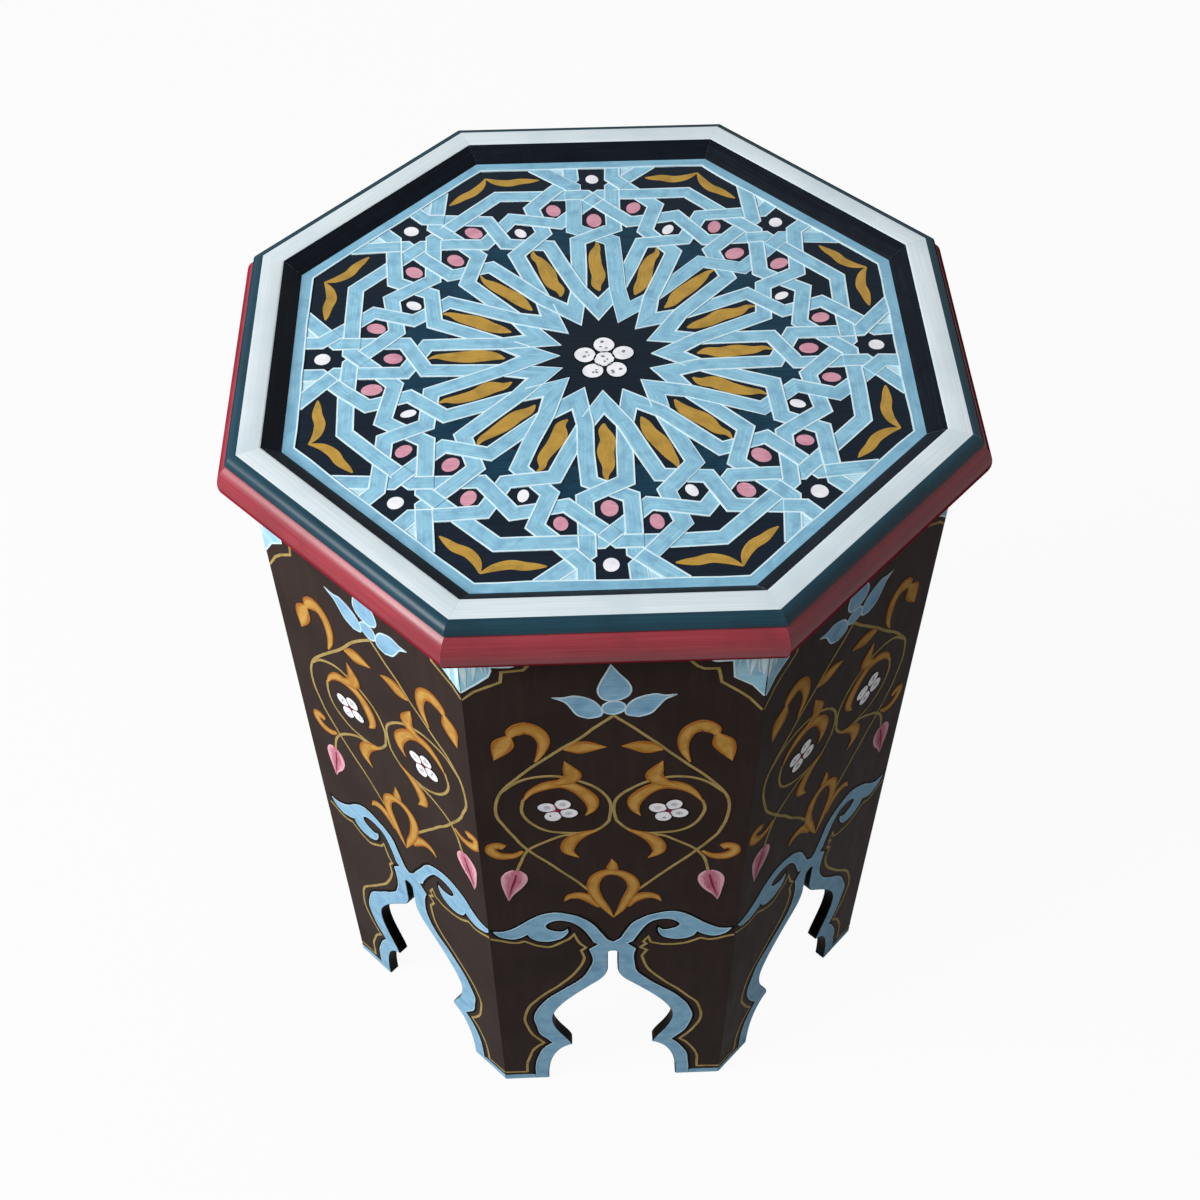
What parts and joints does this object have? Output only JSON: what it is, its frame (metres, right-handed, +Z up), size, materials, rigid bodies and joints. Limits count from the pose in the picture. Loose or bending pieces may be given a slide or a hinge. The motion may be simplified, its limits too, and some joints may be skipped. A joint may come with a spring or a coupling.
{
  "type": "octagonal painted side table",
  "caption": "Octagonal painted wooden side table or stool with a sunk strapwork top, moulded rim and arched side panels.",
  "frame": {"origin": "on the floor under the centre of the table", "axes": "+Z up, front panel faces -Y, flats of the octagon face X and Y"},
  "size_m": [0.376, 0.376, 0.508],
  "materials": {
    "board_paint": "satin paint, light blue strapwork over dark ground",
    "rim_paint": "satin paint, pale flat with teal and red mouldings",
    "body_paint": "satin paint, near black with blue and ochre scrolls",
    "bare_wood": "bare sawn",
    "bright_steel": "plain"
  },
  "bodies": {
    "root": {"top_board": "board_paint", "side_panel_1": "body_paint", "rim_moulding_1": "rim_paint", "corner_block_1": "bare_wood", "board_screw_1": "bright_steel", "side_panel_2": "body_paint", "rim_moulding_2": "rim_paint", "corner_block_2": "bare_wood", "board_screw_2": "bright_steel", "side_panel_3": "body_paint", "rim_moulding_3": "rim_paint", "corner_block_3": "bare_wood", "board_screw_3": "bright_steel", "side_panel_4": "body_paint", "rim_moulding_4": "rim_paint", "corner_block_4": "bare_wood", "board_screw_4": "bright_steel", "side_panel_5": "body_paint", "rim_moulding_5": "rim_paint", "corner_block_5": "bare_wood", "board_screw_5": "bright_steel", "side_panel_6": "body_paint", "rim_moulding_6": "rim_paint", "corner_block_6": "bare_wood", "board_screw_6": "bright_steel", "side_panel_7": "body_paint", "rim_moulding_7": "rim_paint", "corner_block_7": "bare_wood", "board_screw_7": "bright_steel", "side_panel_8": "body_paint", "rim_moulding_8": "rim_paint", "corner_block_8": "bare_wood", "board_screw_8": "bright_steel", "rim_brad_1": "bright_steel", "rim_brad_2": "bright_steel", "rim_brad_3": "bright_steel", "rim_brad_4": "bright_steel", "rim_brad_5": "bright_steel", "rim_brad_6": "bright_steel", "rim_brad_7": "bright_steel", "rim_brad_8": "bright_steel", "rim_brad_9": "bright_steel", "rim_brad_10": "bright_steel", "rim_brad_11": "bright_steel", "rim_brad_12": "bright_steel", "rim_brad_13": "bright_steel", "rim_brad_14": "bright_steel", "rim_brad_15": "bright_steel", "rim_brad_16": "bright_steel"}
  },
  "joints": []
}
